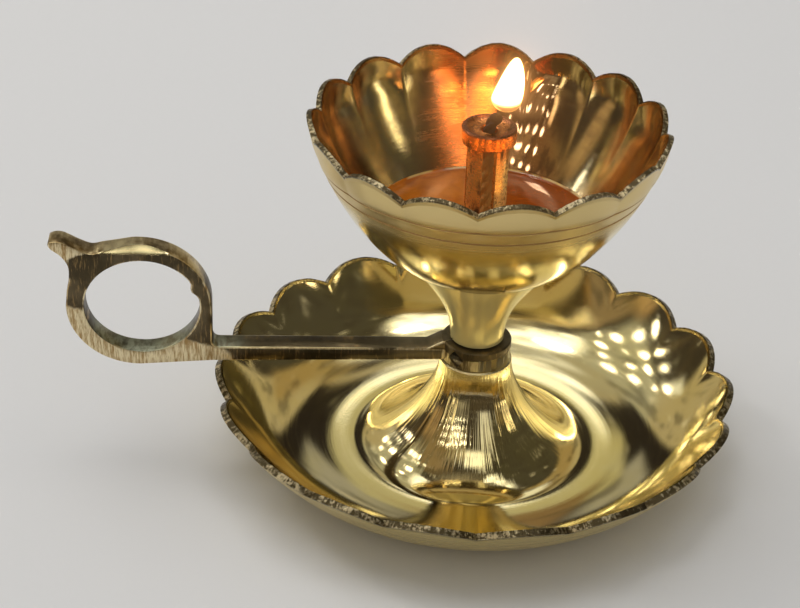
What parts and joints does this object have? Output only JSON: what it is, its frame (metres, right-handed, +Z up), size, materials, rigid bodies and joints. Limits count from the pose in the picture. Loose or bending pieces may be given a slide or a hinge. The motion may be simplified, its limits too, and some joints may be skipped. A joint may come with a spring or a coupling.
{
  "type": "oil lamp",
  "caption": "Brass diya: scalloped oil cup on a flared stem over a scalloped saucer, with a flat handle, finger loop, slotted wick holder and lit wick.",
  "frame": {"origin": "middle of the footprint, handle included, on the table", "axes": "+Z up along the stem; -X toward the handle's thumb rest; -Y the side that faces the viewer. The stem's axis stands 17.9 mm from the origin toward +X"},
  "size_m": [0.1546, 0.1184, 0.098],
  "materials": {
    "polished_brass": "mirror polished inside, satin underneath",
    "turned_brass": "machined",
    "antique_brass": "cast, darkened and coarsely filed",
    "satin_brass": "fine turned satin outside, polished inside",
    "heated_brass": "turned, tinted by heat and soot",
    "lamp_oil": "still liquid surface",
    "cotton_wick": "twisted cotton soaked in oil, charred at the end",
    "flame": "burning"
  },
  "bodies": {
    "stand": {"base_plate": "polished_brass", "tie_stud": "turned_brass", "clamp_nut": "turned_brass", "clamp_washer": "turned_brass"},
    "handle": {"handle": "antique_brass"},
    "stem_washer": {"stem_washer": "turned_brass"},
    "cup": {"cup": "satin_brass", "oil_pool": "lamp_oil"},
    "wick_holder": {"wick_holder": "heated_brass"},
    "wick": {"wick": "cotton_wick", "flame": "flame"}
  },
  "joints": [
    {"name": "handle_swivel", "type": "hinge", "parent": "stand", "child": "handle", "pos_m": [0.01785, 0, 0.028], "axis": [0, 0, 1], "continuous": true},
    {"name": "cup_turn", "type": "hinge", "parent": "stand", "child": "stem_washer", "pos_m": [0.01785, 0, 0.0292], "axis": [0, 0, 1], "range_deg": [0, 3600]},
    {"name": "cup_rise", "type": "slide", "parent": "stem_washer", "child": "cup", "axis": [0, 0, 1], "range_m": [0, 0.01]},
    {"name": "holder_lift", "type": "slide", "parent": "cup", "child": "wick_holder", "axis": [0, 0, 1], "range_m": [0, 0.04]},
    {"name": "wick_feed", "type": "slide", "parent": "wick_holder", "child": "wick", "axis": [0, 0, 1], "range_m": [0, 0.008]}
  ],
  "couplings": [
    {"joint": "cup_rise", "follows": "cup_turn", "m_per_rad": 0.00015915}
  ]
}
